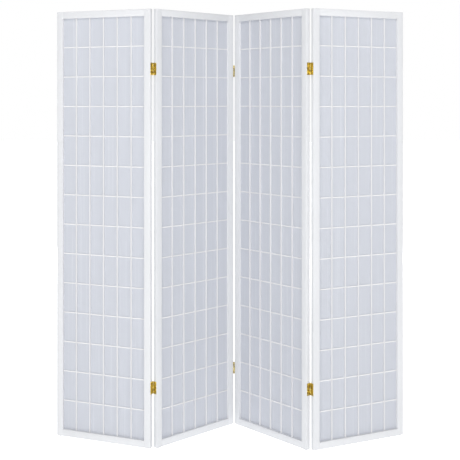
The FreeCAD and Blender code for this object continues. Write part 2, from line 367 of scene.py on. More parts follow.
class Shader:
    """A material's node tree, with short calls for adding and linking nodes."""

    def __init__(self, name: str, guide: Guide = Guide.STORED) -> None:
        """Start an empty material.

        Args:
            name: its name.
            guide: what its patterns are laid along.
        """
        self.guide = guide
        self.material = bpy.data.materials.new(name)
        self.material.use_nodes = True
        self.tree = self.material.node_tree
        self.tree.nodes.clear()
        self.output = self.tree.nodes.new("ShaderNodeOutputMaterial")

    def node(self, kind: str, **values: object) -> bpy.types.Node:
        """Add a node.

        Args:
            kind: the node's type.
            values: each names an input, whose default it sets, or else a setting.

        Returns:
            The new node.
        """
        made = self.tree.nodes.new(kind)
        for name, value in values.items():
            label = name.replace("_", " ")
            match = next((item for item in made.inputs if item.name.lower() == label), None)
            if match is None:
                setattr(made, name, value)
            else:
                match.default_value = value
        return made

    def link(self, source: bpy.types.NodeSocket, target: bpy.types.NodeSocket) -> None:
        """Join an output to an input."""
        self.tree.links.new(source, target)

    def place(self, scale: Sequence[float]) -> bpy.types.NodeSocket:
        """The place along the guide.

        Args:
            scale: the scale on each axis.

        Returns:
            The scaled place.
        """
        mapping = self.node("ShaderNodeMapping", scale=tuple(scale))
        if self.guide is Guide.STORED:
            stored = self.node("ShaderNodeAttribute", attribute_name=GRAIN)
            self.link(stored.outputs["Vector"], mapping.inputs["Vector"])
        else:
            own = self.node("ShaderNodeTexCoord")
            self.link(own.outputs["Object"], mapping.inputs["Vector"])
        return mapping.outputs["Vector"]

    def noise(self, pattern: "Pattern") -> bpy.types.NodeSocket:
        """A noise, from 0 to 1, laid along the guide.

        Args:
            pattern: the noise's scale, detail and roughness.

        Returns:
            The noise's value.
        """
        made = self.node(
            "ShaderNodeTexNoise", scale=1.0, detail=pattern.detail, roughness=pattern.roughness
        )
        self.link(self.place(pattern.scale), made.inputs["Vector"])
        return made.outputs["Fac"]

    def ranged(self, value: bpy.types.NodeSocket, spread: "Spread") -> bpy.types.NodeSocket:
        """A part of a pattern spread over a range.

        Args:
            value: the pattern.
            spread: the part of it, and the range.

        Returns:
            The value in that range.
        """
        made = self.node("ShaderNodeMapRange")
        made.inputs["From Min"].default_value = spread.start
        made.inputs["From Max"].default_value = spread.end
        made.inputs["To Min"].default_value = spread.low
        made.inputs["To Max"].default_value = spread.high
        self.link(value, made.inputs["Value"])
        return made.outputs["Result"]

    def blend(self, factor: bpy.types.NodeSocket, first: Colour, second: Colour) -> bpy.types.NodeSocket:
        """A mix of two colours by a pattern.

        Args:
            factor: the pattern, from 0 to 1.
            first: the colour at 0.
            second: the colour at 1.

        Returns:
            The mixed colour.
        """
        made = self.node("ShaderNodeMix", data_type="RGBA")
        for name, colour in (("A_Color", first), ("B_Color", second)):
            socket = next(item for item in made.inputs if item.identifier == name)
            socket.default_value = (*colour, 1.0)
        self.link(factor, made.inputs["Factor"])
        return next(item for item in made.outputs if item.identifier == "Result_Color")

    def summed(
        self, first: bpy.types.NodeSocket, second: bpy.types.NodeSocket, share: float
    ) -> bpy.types.NodeSocket:
        """One pattern with a share of another added.

        Args:
            first: the pattern that counts in full.
            second: the pattern that is added.
            share: how much of the second is added.

        Returns:
            The sum.
        """
        made = self.node("ShaderNodeMath", operation="MULTIPLY_ADD")
        self.link(second, made.inputs[0])
        made.inputs[1].default_value = share
        self.link(first, made.inputs[2])
        return made.outputs[0]

    def bump(self, height: bpy.types.NodeSocket, distance: float, strength: float) -> bpy.types.NodeSocket:
        """A bump from a height pattern.

        Args:
            height: the pattern.
            distance: its depth in metres.
            strength: how much of the bump shows.

        Returns:
            The changed normal.
        """
        made = self.node("ShaderNodeBump", strength=strength, distance=distance)
        self.link(height, made.inputs["Height"])
        return made.outputs["Normal"]


@dataclass(frozen=True)
class Pattern:
    """A noise: its scale on each axis (Z runs along the grain), its detail, and that detail's roughness."""

    scale: Triple
    detail: float
    roughness: float = 0.5


@dataclass(frozen=True)
class Spread:
    """The part of a pattern from start to end, spread over low to high."""

    start: float = 0.3
    end: float = 0.7
    low: float = 0.0
    high: float = 1.0


@dataclass(frozen=True)
class Finish:
    """What every finish has: a name, the record's slot, the colours of its pattern and its guide."""

    name: str
    slot: str
    light: Colour
    dark: Colour
    guide: Guide = Guide.STORED

    def material(self) -> bpy.types.Material:
        """The finish's material, made once."""
        made = bpy.data.materials.get(self.name)
        return made if made else self.build(Shader(self.name, self.guide))

    def build(self, shader: Shader) -> bpy.types.Material:
        """Write the finish's nodes; each finish has its own."""
        raise NotImplementedError


@dataclass(frozen=True)
class PaintedWood(Finish):
    """Satin white paint brushed along a softwood member, with its grain just showing."""

    brush: Pattern = Pattern((420.0, 420.0, 6.0), 3.0)
    grain: Pattern = Pattern((150.0, 150.0, 3.2), 2.0)
    cloud: Pattern = Pattern((9.0, 9.0, 2.2), 2.0)
    tone: Spread = Spread(0.42, 0.92)
    brush_in_tone: float = 0.35
    brush_in_relief: float = 0.45
    sheen: Spread = Spread(low=0.35, high=0.51)
    specular: float = 0.42
    relief_depth: float = 0.18 * MM
    relief_strength: float = 0.5

    def build(self, shader: Shader) -> bpy.types.Material:
        """Write the paint: brush marks, grain and slow changes in its thickness.

        Args:
            shader: the empty material.

        Returns:
            The material.
        """
        brush, grain, cloud = (shader.noise(item) for item in (self.brush, self.grain, self.cloud))
        tone = shader.summed(cloud, brush, self.brush_in_tone)
        paint = shader.node("ShaderNodeBsdfPrincipled", specular_ior_level=self.specular)
        colour = shader.blend(shader.ranged(tone, self.tone), self.dark, self.light)
        shader.link(colour, paint.inputs["Base Color"])
        shader.link(shader.ranged(brush, self.sheen), paint.inputs["Roughness"])
        relief = shader.summed(grain, brush, self.brush_in_relief)
        shader.link(shader.bump(relief, self.relief_depth, self.relief_strength), paint.inputs["Normal"])
        shader.link(paint.outputs[0], shader.output.inputs["Surface"])
        return shader.material


@dataclass(frozen=True)
class ShojiPaper(Finish):
    """White fibre paper: long fibres that run mostly up the sheet, and light let through it."""

    fibre: Pattern = Pattern((900.0, 900.0, 11.0), 4.0, 0.6)
    streak: Pattern = Pattern((130.0, 130.0, 1.2), 3.0)
    tangle: Pattern = Pattern((330.0, 330.0, 120.0), 5.0, 0.65)
    tone: Spread = Spread(0.95, 1.45)
    tangle_in_tone: float = 0.6
    fibres_in_tone: float = 0.5
    tangle_in_relief: float = 0.8
    roughness: float = 0.82
    specular: float = 0.25
    relief_depth: float = 0.08 * MM
    relief_strength: float = 0.6
    through: float = 0.28

    def build(self, shader: Shader) -> bpy.types.Material:
        """Write the paper's streaks, fibres and the light that comes through.

        Args:
            shader: the empty material.

        Returns:
            The material.
        """
        fibre, streak, tangle = (shader.noise(item) for item in (self.fibre, self.streak, self.tangle))
        tone = shader.summed(streak, shader.summed(fibre, tangle, self.tangle_in_tone), self.fibres_in_tone)
        colour = shader.blend(shader.ranged(tone, self.tone), self.dark, self.light)
        sheet = shader.node(
            "ShaderNodeBsdfPrincipled", roughness=self.roughness, specular_ior_level=self.specular
        )
        shader.link(colour, sheet.inputs["Base Color"])
        relief = shader.summed(fibre, tangle, self.tangle_in_relief)
        shader.link(shader.bump(relief, self.relief_depth, self.relief_strength), sheet.inputs["Normal"])
        lit = shader.node("ShaderNodeBsdfTranslucent")
        shader.link(colour, lit.inputs["Color"])
        both = shader.node("ShaderNodeMixShader")
        both.inputs["Fac"].default_value = self.through
        shader.link(sheet.outputs[0], both.inputs[1])
        shader.link(lit.outputs[0], both.inputs[2])
        shader.link(both.outputs[0], shader.output.inputs["Surface"])
        return shader.material


@dataclass(frozen=True)
class PlatedBrass(Finish):
    """Bright brass plating on pressed steel, with faint polishing lines and duller patches; the light and
    dark patches in its colour are painted reflection.
    """

    polish: Pattern = Pattern((2600.0, 2600.0, 160.0), 3.0)
    dullness_and_painted_reflection: Pattern = Pattern((130.0, 130.0, 130.0), 4.0, 0.6)
    tone: Spread = Spread(0.38, 0.6)
    polish_in_sheen: float = 0.4
    sheen: Spread = Spread(0.4, 0.85, 0.38, 0.24)
    relief_depth: float = 0.03 * MM
    relief_strength: float = 0.4

    def build(self, shader: Shader) -> bpy.types.Material:
        """Write the plating's colour, polish and duller patches; the patches' light and dark colour is
        painted reflection.

        Args:
            shader: the empty material.

        Returns:
            The material.
        """
        polish, dullness_and_painted_reflection = shader.noise(self.polish), shader.noise(self.dullness_and_painted_reflection)
        metal = shader.node("ShaderNodeBsdfPrincipled", metallic=1.0)
        # Painted reflection: the patches blend the colour from dark to light brass; only their roughness is
        # real dullness.
        colour = shader.blend(shader.ranged(dullness_and_painted_reflection, self.tone), self.dark, self.light)
        shader.link(colour, metal.inputs["Base Color"])
        worn = shader.summed(dullness_and_painted_reflection, polish, self.polish_in_sheen)
        shader.link(shader.ranged(worn, self.sheen), metal.inputs["Roughness"])
        shader.link(shader.bump(polish, self.relief_depth, self.relief_strength), metal.inputs["Normal"])
        shader.link(metal.outputs[0], shader.output.inputs["Surface"])
        return shader.material


@dataclass(frozen=True)
class MouldedPlastic(Finish):
    """Dark moulded plastic with a fine even texture and a scuffed surface."""

    texture: Pattern = Pattern((2200.0, 2200.0, 2200.0), 2.0)
    scuff: Pattern = Pattern((320.0, 320.0, 320.0), 5.0, 0.7)
    tone: Spread = Spread(0.45, 0.75)
    sheen: Spread = Spread(low=0.45, high=0.75)
    relief_depth: float = 0.04 * MM
    relief_strength: float = 0.5

    def build(self, shader: Shader) -> bpy.types.Material:
        """Write the plastic's texture and scuffs.

        Args:
            shader: the empty material.

        Returns:
            The material.
        """
        texture, scuff = shader.noise(self.texture), shader.noise(self.scuff)
        plastic = shader.node("ShaderNodeBsdfPrincipled")
        colour = shader.blend(shader.ranged(scuff, self.tone), self.dark, self.light)
        shader.link(colour, plastic.inputs["Base Color"])
        shader.link(shader.ranged(scuff, self.sheen), plastic.inputs["Roughness"])
        shader.link(shader.bump(texture, self.relief_depth, self.relief_strength), plastic.inputs["Normal"])
        shader.link(plastic.outputs[0], shader.output.inputs["Surface"])
        return shader.material


LATTICE_WHITE, LATTICE_SHADE = (0.80, 0.80, 0.815), (0.765, 0.765, 0.78)
FINE_BRUSH = Pattern((700.0, 700.0, 9.0), 3.0)

FRAME_PAINT = PaintedWood("frame_paint", "painted_frame", (0.712, 0.722, 0.742), (0.672, 0.682, 0.702))
# The uprights' colour is painted shade: their paint is taken a little darker than the crossbars'. It is one
# paint on the real screen, but the modelled uprights are probably too deep, and in the same white they
# would stand out too much.
UPRIGHT_PAINTED_SHADE = PaintedWood(
    "upright_paint", "painted_lattice", (0.725, 0.725, 0.74), (0.69, 0.69, 0.705), brush=FINE_BRUSH
)
LATTICE_PAINT = PaintedWood(
    "lattice_paint", "painted_lattice", LATTICE_WHITE, LATTICE_SHADE, brush=FINE_BRUSH
)
BORDER_PAINT = PaintedWood("border_paint", "painted_lattice", LATTICE_WHITE, LATTICE_SHADE, Guide.OBJECT)
PAPER = ShojiPaper("fibre_paper", "shoji_paper", (0.79, 0.81, 0.85), (0.675, 0.695, 0.745))
# The brass's light and dark colours are painted reflection, laid in patches.
BRASS = PlatedBrass("plated_brass", "hinge_brass", (0.85, 0.69, 0.21), (0.30, 0.21, 0.05))
PLASTIC = MouldedPlastic("moulded_plastic", "glide_plastic", (0.075, 0.075, 0.08), (0.028, 0.028, 0.03))


# ---------------------------------------------------------------- patterns that repeat


class NodeForm:
    """A Geometry Nodes tree with named inputs, and the plain mesh that it makes."""

    def __init__(self, name: str) -> None:
        """Start an empty tree.

        Args:
            name: its name.
        """
        self.tree = bpy.data.node_groups.new(name, "GeometryNodeTree")
        self.tree.interface.new_socket(name="Geometry", in_out="OUTPUT", socket_type="NodeSocketGeometry")
        self.start = self.tree.nodes.new("NodeGroupInput")
        self.end = self.tree.nodes.new("NodeGroupOutput")

    def size(self, name: str, kind: str = "Float") -> bpy.types.NodeSocket:
        """Add a named input.

        Args:
            name: the input's name.
            kind: the kind of its socket.

        Returns:
            The input's socket in the tree.
        """
        self.tree.interface.new_socket(name=name, in_out="INPUT", socket_type="NodeSocket" + kind)
        return self.start.outputs[name]

    def node(
        self, kind: str, inputs: dict[str | int, object] | None = None, **settings: object
    ) -> bpy.types.Node:
        """Add a node.

        Args:
            kind: the node's type, without the words that every such type starts with.
            inputs: by name or number, a socket to link or a value to set.
            settings: the node's own options.

        Returns:
            The new node.
        """
        made = self.tree.nodes.new(kind)
        for name, value in settings.items():
            setattr(made, name, value)
        for name, value in (inputs or {}).items():
            if isinstance(value, bpy.types.NodeSocket):
                self.tree.links.new(value, made.inputs[name])
            else:
                made.inputs[name].default_value = value
        return made

    def vector(self, x: object = 0.0, y: object = 0.0, z: object = 0.0) -> bpy.types.NodeSocket:
        """A vector from sockets or numbers."""
        return self.node("ShaderNodeCombineXYZ", {"X": x, "Y": y, "Z": z}).outputs[0]

    def maths(self, operation: str, first: object, second: object) -> bpy.types.NodeSocket:
        """One sum on sockets or numbers."""
        return self.node("ShaderNodeMath", {0: first, 1: second}, operation=operation).outputs[0]

    def close(self, geometry: bpy.types.NodeSocket) -> None:
        """End the tree: make the copies real and give them the material.

        Args:
            geometry: what the tree has made so far.
        """
        material = self.size("Material", "Material")
        real = self.node("GeometryNodeRealizeInstances", {0: geometry})
        dressed = self.node("GeometryNodeSetMaterial", {"Geometry": real.outputs[0], "Material": material})
        self.tree.links.new(dressed.outputs[0], self.end.inputs[0])

    def mesh(self, **values: object) -> bpy.types.Mesh:
        """The plain mesh that the tree makes.

        Args:
            values: each input by its name, with _ for a space.

        Returns:
            The mesh, with no modifier left.
        """
        obj = linked(self.tree.name, bpy.data.meshes.new("start"))
        modifier = obj.modifiers.new("form", "NODES")
        modifier.node_group = self.tree
        for item in self.tree.interface.items_tree:
            key = item.name.lower().replace(" ", "_")
            if item.in_out == "INPUT":
                modifier[item.identifier] = values[key]
        return evaluated_mesh(obj)


@cache
def slat_row_form() -> NodeForm:
    """The tree for a row of like slats that stand along Z, with housings cut across their backs.

    Returns:
        The tree, built once and then shared.
    """
    form = NodeForm("slat_row")
    width, depth, length = form.size("Width"), form.size("Depth"), form.size("Length")
    easing, count, pitch = form.size("Easing"), form.size("Count", "Int"), form.size("Pitch")
    first = form.size("First", "Vector")
    housings, housing_pitch = form.size("Housings", "Int"), form.size("Housing pitch")
    housing_first, housing_width = form.size("Housing first"), form.size("Housing width")
    housing_depth = form.size("Housing depth")

    outline = form.node("GeometryNodeCurvePrimitiveQuadrilateral", {"Width": width, "Height": depth})
    rounded = form.node(
        "GeometryNodeFilletCurve", {"Curve": outline.outputs[0], "Radius": easing, "Count": 3}, mode="POLY"
    )
    section = form.node("GeometryNodeFillCurve", {"Curve": rounded.outputs[0]}, mode="NGONS")
    raised = form.node(
        "GeometryNodeExtrudeMesh",
        {
            "Mesh": section.outputs[0],
            "Offset": form.vector(z=length),
            "Offset Scale": 1.0,
            "Individual": False,
        },
        mode="FACES",
    )
    foot = form.node("GeometryNodeFlipFaces", {"Mesh": section.outputs[0]})
    shell = form.node("GeometryNodeJoinGeometry")
    form.tree.links.new(raised.outputs["Mesh"], shell.inputs[0])
    form.tree.links.new(foot.outputs[0], shell.inputs[0])
    slat = form.node(
        "GeometryNodeMergeByDistance", {"Geometry": shell.outputs[0], "Distance": MERGE_DISTANCE}
    )

    half_back = form.maths("MULTIPLY", form.maths("SUBTRACT", depth, housing_depth), HALF)
    reach = form.maths("ADD", housing_depth, CUT_PAST)
    middle = form.maths("ADD", half_back, CUT_PAST / 2)
    past_sides = form.maths("MULTIPLY", width, 2.0)
    cutter = form.node("GeometryNodeMeshCube", {"Size": form.vector(past_sides, reach, housing_width)})
    ladder = form.node(
        "GeometryNodeMeshLine",
        {
            "Count": housings,
            "Start Location": form.vector(0.0, middle, housing_first),
            "Offset": form.vector(z=housing_pitch),
        },
    )
    rungs = form.node(
        "GeometryNodeInstanceOnPoints", {"Points": ladder.outputs[0], "Instance": cutter.outputs[0]}
    )
    rungs_real = form.node("GeometryNodeRealizeInstances", {0: rungs.outputs[0]})
    housed = form.node("GeometryNodeMeshBoolean", operation="DIFFERENCE")
    form.tree.links.new(slat.outputs[0], housed.inputs["Mesh 1"])
    form.tree.links.new(rungs_real.outputs[0], housed.inputs["Mesh 2"])

    row = form.node(
        "GeometryNodeMeshLine", {"Count": count, "Start Location": first, "Offset": form.vector(pitch)}
    )
    slats = form.node(
        "GeometryNodeInstanceOnPoints", {"Points": row.outputs[0], "Instance": housed.outputs[0]}
    )
    form.close(slats.outputs[0])
    return form


@cache
def fixing_rows_form() -> NodeForm:
    """The tree for rows of one fixing, each turned about itself by chance: screws or feet.

    Returns:
        The tree, built once and then shared.
    """
    form = NodeForm("fixing_rows")
    fixing = form.size("Fixing", "Object")
    count, step = form.size("Count", "Int"), form.size("Step", "Vector")
    rows, row_step = form.size("Rows", "Int"), form.size("Row step", "Vector")
    first, turn = form.size("First", "Vector"), form.size("Turn", "Vector")
    seed = form.size("Seed", "Int")
    shape = form.node("GeometryNodeObjectInfo", {"Object": fixing}, transform_space="ORIGINAL")
    starts = form.node("GeometryNodeMeshLine", {"Count": rows, "Start Location": first, "Offset": row_step})
    line = form.node("GeometryNodeMeshLine", {"Count": count, "Offset": step})
    grid = form.node(
        "GeometryNodeInstanceOnPoints", {"Points": starts.outputs[0], "Instance": line.outputs[0]}
    )
    points = form.node("GeometryNodeRealizeInstances", {0: grid.outputs[0]})
    placed = form.node(
        "GeometryNodeInstanceOnPoints",
        {"Points": points.outputs[0], "Instance": shape.outputs["Geometry"], "Rotation": turn},
    )
    chance = form.node("FunctionNodeRandomValue", data_type="FLOAT")
    chance.inputs[3].default_value = 2 * math.pi
    form.tree.links.new(seed, chance.inputs["Seed"])
    spun = form.node(
        "GeometryNodeRotateInstances",
        {
            "Instances": placed.outputs[0],
            "Rotation": form.vector(z=chance.outputs[1]),
            "Local Space": True,
        },
    )
    form.close(spun.outputs[0])
    return form


# ---------------------------------------------------------------- where each panel stands


@dataclass(frozen=True)
class PanelAxes:
    """Where one panel stands on the floor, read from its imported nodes."""

    number: int
    corner: Vector
    turn: float

    @classmethod
    def of_panel(cls, number: int) -> "PanelAxes":
        """Read a panel's place from its paper, which is a plain thin box, and its left stile.

        Args:
            number: the panel's number, from the left.

        Returns:
            The panel's axes.
        """
        sheet = node_points(f"panel_{number}_paper")[:, :2]
        spread = np.cov((sheet - sheet.mean(axis=0)).T)
        across = np.linalg.eigh(spread)[1][:, 1]
        across = across * math.copysign(1.0, across[0])
        turn = math.atan2(across[1], across[0])
        flat = cls(number, Vector((0, 0, 0)), turn)
        low, _ = flat.box("left_stile")
        return cls(number, flat.matrix() @ Vector((low.x, low.y, 0)), turn)

    def matrix(self) -> Matrix:
        """The way from the panel's axes to the frame's."""
        return Matrix.Translation(self.corner) @ Matrix.Rotation(self.turn, 4, "Z")

    def box(self, piece: str) -> tuple[Vector, Vector]:
        """The corners of one of the panel's nodes, in the panel's axes.

        Args:
            piece: the node's name without the panel's.

        Returns:
            The lowest and the highest corner.
        """
        points = node_points(f"panel_{self.number}_{piece}")
        back = np.array(self.matrix().inverted())
        local = points @ back[:3, :3].T + back[:3, 3]
        return Vector(local.min(axis=0)), Vector(local.max(axis=0))

    def local(self, point: Sequence[float]) -> Vector:
        """A point of the frame in the panel's axes."""
        return self.matrix().inverted() @ Vector(point)

    @property
    def body(self) -> str:
        """The body that the panel's pieces ride on."""
        return f"panel_{self.number}"


def node_points(node: str) -> np.ndarray:
    """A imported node's points in the frame's axes.

    Args:
        node: the node's name.

    Returns:
        The points, one a row.
    """
    vertices = frame["nodes"][node].data.vertices
    points = np.empty(len(vertices) * 3)
    vertices.foreach_get("co", points)
    return points.reshape(-1, 3)


@dataclass(frozen=True)
class PanelSizes:
    """A panel's main sizes, read from its nodes."""

    width: float
    thickness: float
    foot: float
    top: float
    stile_face: float
    inner_bottom: float
    inner_top: float
    lip: float
    lattice_back: float
    paper_low: Vector
    paper_high: Vector
    tenon_length: float

    @classmethod
    def of_panel(cls, axes: PanelAxes) -> "PanelSizes":
        """Read a panel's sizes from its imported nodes.

        Args:
            axes: where the panel stands.

        Returns:
            The sizes.
        """
        left_low, left_high = axes.box("left_stile")
        _, right_high = axes.box("right_stile")
        rail_low, bottom_high = axes.box("bottom_rail")
        top_low, _ = axes.box("top_rail")
        border_low, _ = axes.box("lattice_border")
        paper_low, paper_high = axes.box("paper")
        return cls(
            width=right_high.x,
            thickness=left_high.y,
            foot=left_low.z,
            top=left_high.z,
            stile_face=left_high.x,
            inner_bottom=bottom_high.z,
            inner_top=top_low.z,
            lip=border_low.y,
            lattice_back=paper_low.y,
            paper_low=paper_low,
            paper_high=paper_high,
            tenon_length=left_high.x - rail_low.x,
        )


# ---------------------------------------------------------------- the frame of a panel


@dataclass(frozen=True)
class FrameMembers:
    """A panel's stiles and rails: rebated from behind, tenoned together and eased at their edges."""

    rebate_gap: float = 0.3 * MM
    outer_easing: float = 1.8 * MM
    end_easing: float = 1.1 * MM
    inner_easing: float = 0.55 * MM
    joint_easing: float = 0.22 * MM
    joint_share: float = 0.9
    tenon_thickness: float = 7.0 * MM
    tenon_height: float = 14.0 * MM
    tenon_shoulder: float = 3.2 * MM
    mortise_gap: float = 0.1 * MM
    mortise_end_gap: float = 0.8 * MM
    past: float = 10.0 * MM
    tenon_root: float = 2.0 * MM

    def rebate(self, sizes: PanelSizes, ends: tuple[float, float]) -> bpy.types.Mesh:
        """The cutter for the rebate that the lattice, paper and beading lie in.

        Args:
            sizes: the panel's sizes.
            ends: the X that it starts and ends at.

        Returns:
            The cutter.
        """
        low = (ends[0], sizes.lip, sizes.paper_low.z - self.rebate_gap)
        high = (ends[1], sizes.thickness + self.past, sizes.paper_high.z + self.rebate_gap)
        return box_mesh(low, high)

    def tenon(
        self, sizes: PanelSizes, side: int, at_top: bool, gap: float, end_gap: float
    ) -> bpy.types.Mesh:
        """A rail's tenon, or its mortise where the gaps aren't zero.

        Args:
            sizes: the panel's sizes.
            side: -1 at the left and 1 at the right.
            at_top: whether it is the top rail's.
            gap: the clearance round it.
            end_gap: the clearance past its end.

        Returns:
            The tenon or the cutter.
        """
        shoulder = sizes.stile_face if side < 0 else sizes.width - sizes.stile_face
        reach = shoulder + side * (sizes.tenon_length + end_gap)
        root = shoulder - side * (self.past if gap else self.tenon_root)
        middle = sizes.thickness / 2
        low = sizes.foot + self.tenon_shoulder
        if at_top:
            low = sizes.top - self.tenon_shoulder - self.tenon_height
        near = (min(reach, root), middle - self.tenon_thickness / 2 - gap, low - gap)
        far = (max(reach, root), middle + self.tenon_thickness / 2 + gap, low + self.tenon_height + gap)
        return box_mesh(near, far)

    def stile(self, sizes: PanelSizes, side: int) -> bpy.types.Mesh:
        """One stile, rebated and mortised.

        Args:
            sizes: the panel's sizes.
            side: -1 for the left stile and 1 for the right.

        Returns:
            The stile.
        """
        outer = 0.0 if side < 0 else sizes.width
        inner = sizes.stile_face if side < 0 else sizes.width - sizes.stile_face
        outer_share = 0.0 if side < 0 else 1.0

        def easing(share: Vector, way: Vector) -> float:
            """An edge's radius: fuller on the outside, and hardly any where the rails meet it."""
            inwards = abs(share.x - outer_share)
            if abs(way.z) < HALF:
                return self.end_easing if inwards < self.joint_share else self.joint_easing
            return self.outer_easing if inwards < HALF else self.inner_easing

        low = (min(outer, inner), 0.0, sizes.foot)
        high = (max(outer, inner), sizes.thickness, sizes.top)
        paper_edge = sizes.paper_low.x if side < 0 else sizes.paper_high.x
        ends = sorted((paper_edge + side * self.rebate_gap, inner - side * self.past))
        tools = [(Cut.TAKE, self.rebate(sizes, (ends[0], ends[1])))]
        for at_top in (False, True):
            mortise = self.tenon(sizes, side, at_top, self.mortise_gap, self.mortise_end_gap)
            tools.append((Cut.TAKE, mortise))
        return carved(eased_box(low, high, easing), tools)

    def rail(self, sizes: PanelSizes, at_top: bool) -> bpy.types.Mesh:
        """One rail, rebated, with its tenons.

        Args:
            sizes: the panel's sizes.
            at_top: whether it is the top rail.

        Returns:
            The rail.
        """
        rim_share = 1.0 if at_top else 0.0

        def easing(share: Vector, way: Vector) -> float:
            """An edge's radius: fuller at the rim, and hardly any where the stiles meet it."""
            if abs(way.x) < HALF:
                return self.joint_easing
            return self.end_easing if abs(share.z - rim_share) < HALF else self.inner_easing

        ends = (sizes.stile_face, sizes.width - sizes.stile_face)
        low = (ends[0], 0.0, sizes.inner_top if at_top else sizes.foot)
        high = (ends[1], sizes.thickness, sizes.top if at_top else sizes.inner_bottom)
        tools = [(Cut.TAKE, self.rebate(sizes, (ends[0] - self.past, ends[1] + self.past)))]
        tools += [(Cut.ADD, self.tenon(sizes, side, at_top, 0.0, 0.0)) for side in (-1, 1)]
        return carved(eased_box(low, high, easing), tools)

    def dress(self, axes: PanelAxes, sizes: PanelSizes) -> None:
        """Make and finish the four members of one panel.

        Args:
            axes: where the panel stands.
            sizes: the panel's sizes.
        """
        members = {
            "left_stile": (self.stile(sizes, -1), Run.UP),
            "right_stile": (self.stile(sizes, 1), Run.UP),
            "top_rail": (self.rail(sizes, True), Run.ACROSS),
            "bottom_rail": (self.rail(sizes, False), Run.ACROSS),
        }
        for name, (mesh, run) in members.items():
            node = f"panel_{axes.number}_{name}"
            store_grain(mesh, run, node)
            finished(node, "wood", mesh, axes.matrix(), FRAME_PAINT, axes.body)


# ---------------------------------------------------------------- lattice, paper and beading


@dataclass(frozen=True)
class Lattice:
    """A panel's slats: uprights in front, and crossbars let into housings across their backs."""

    uprights: int = 5
    crossbars: int = 13
    slat_width: float = 5.0 * MM
    easing: float = 0.4 * MM
    housing_gap: float = 0.05 * MM
    form: NodeForm = field(default_factory=slat_row_form)

    def spacing(self, opening: float, count: int) -> tuple[float, float]:
        """The first slat's centre and the pitch that leave equal clear gaps in an opening."""
        clear = (opening - count * self.slat_width) / (count + 1)
        return clear + self.slat_width / 2, clear + self.slat_width

    def across(self, sizes: PanelSizes) -> tuple[float, float]:
        """The first upright's X and the pitch of the uprights."""
        first, pitch = self.spacing(sizes.width - 2 * sizes.stile_face, self.uprights)
        return sizes.stile_face + first, pitch

    def up(self, sizes: PanelSizes) -> tuple[float, float]:
        """The first crossbar's Z and the pitch of the crossbars."""
        first, pitch = self.spacing(sizes.inner_top - sizes.inner_bottom, self.crossbars)
        return sizes.inner_bottom + first, pitch

    def dress(self, axes: PanelAxes, sizes: PanelSizes) -> list[bpy.types.Object]:
        """Make and finish the slats of one panel.

        Args:
            axes: where the panel stands.
            sizes: the panel's sizes.

        Returns:
            The uprights and the crossbars, one piece each.
        """
        low, high = axes.box("lattice_uprights")
        bar_low, bar_high = axes.box("lattice_crossbars")
        first_x, pitch_x = self.across(sizes)
        first_z, pitch_z = self.up(sizes)
        depth = high.y - low.y
        common = {"width": self.slat_width, "easing": self.easing, "material": LATTICE_PAINT.material()}
        uprights = self.form.mesh(
            **common,
            depth=depth,
            length=high.z - low.z,
            count=self.uprights,
            pitch=pitch_x,
            first=(first_x, (low.y + high.y) / 2, low.z),
            housings=self.crossbars,
            housing_pitch=pitch_z,
            housing_first=first_z - low.z,
            housing_width=self.slat_width + 2 * self.housing_gap,
            housing_depth=bar_high.y - bar_low.y,
        )
        bars = self.form.mesh(
            **common,
            depth=bar_high.y - bar_low.y,
            length=bar_high.x - bar_low.x,
            count=self.crossbars,
            pitch=pitch_z,
            first=(first_z, (bar_low.y + bar_high.y) / 2, bar_low.x),
            housings=0,
            housing_pitch=pitch_z,
            housing_first=0.0,
            housing_width=self.slat_width,
            housing_depth=0.0,
        )
        bars.transform(Matrix(((0, 0, 1, 0), (0, 1, 0, 0), (1, 0, 0, 0), (0, 0, 0, 1))))
        outward(bars)
        # The uprights get the darker paint, which is painted shade.
        rows = {
            "uprights": (uprights, Run.UP, UPRIGHT_PAINTED_SHADE),
            "crossbars": (bars, Run.ACROSS, LATTICE_PAINT),
        }
        pieces = []
        for name, (mesh, run, paint) in rows.items():
            node = f"panel_{axes.number}_lattice_{name}"
            store_grain(mesh, run, node)
            pieces.append(finished(node, "wood", mesh, axes.matrix(), paint, axes.body))
        return pieces


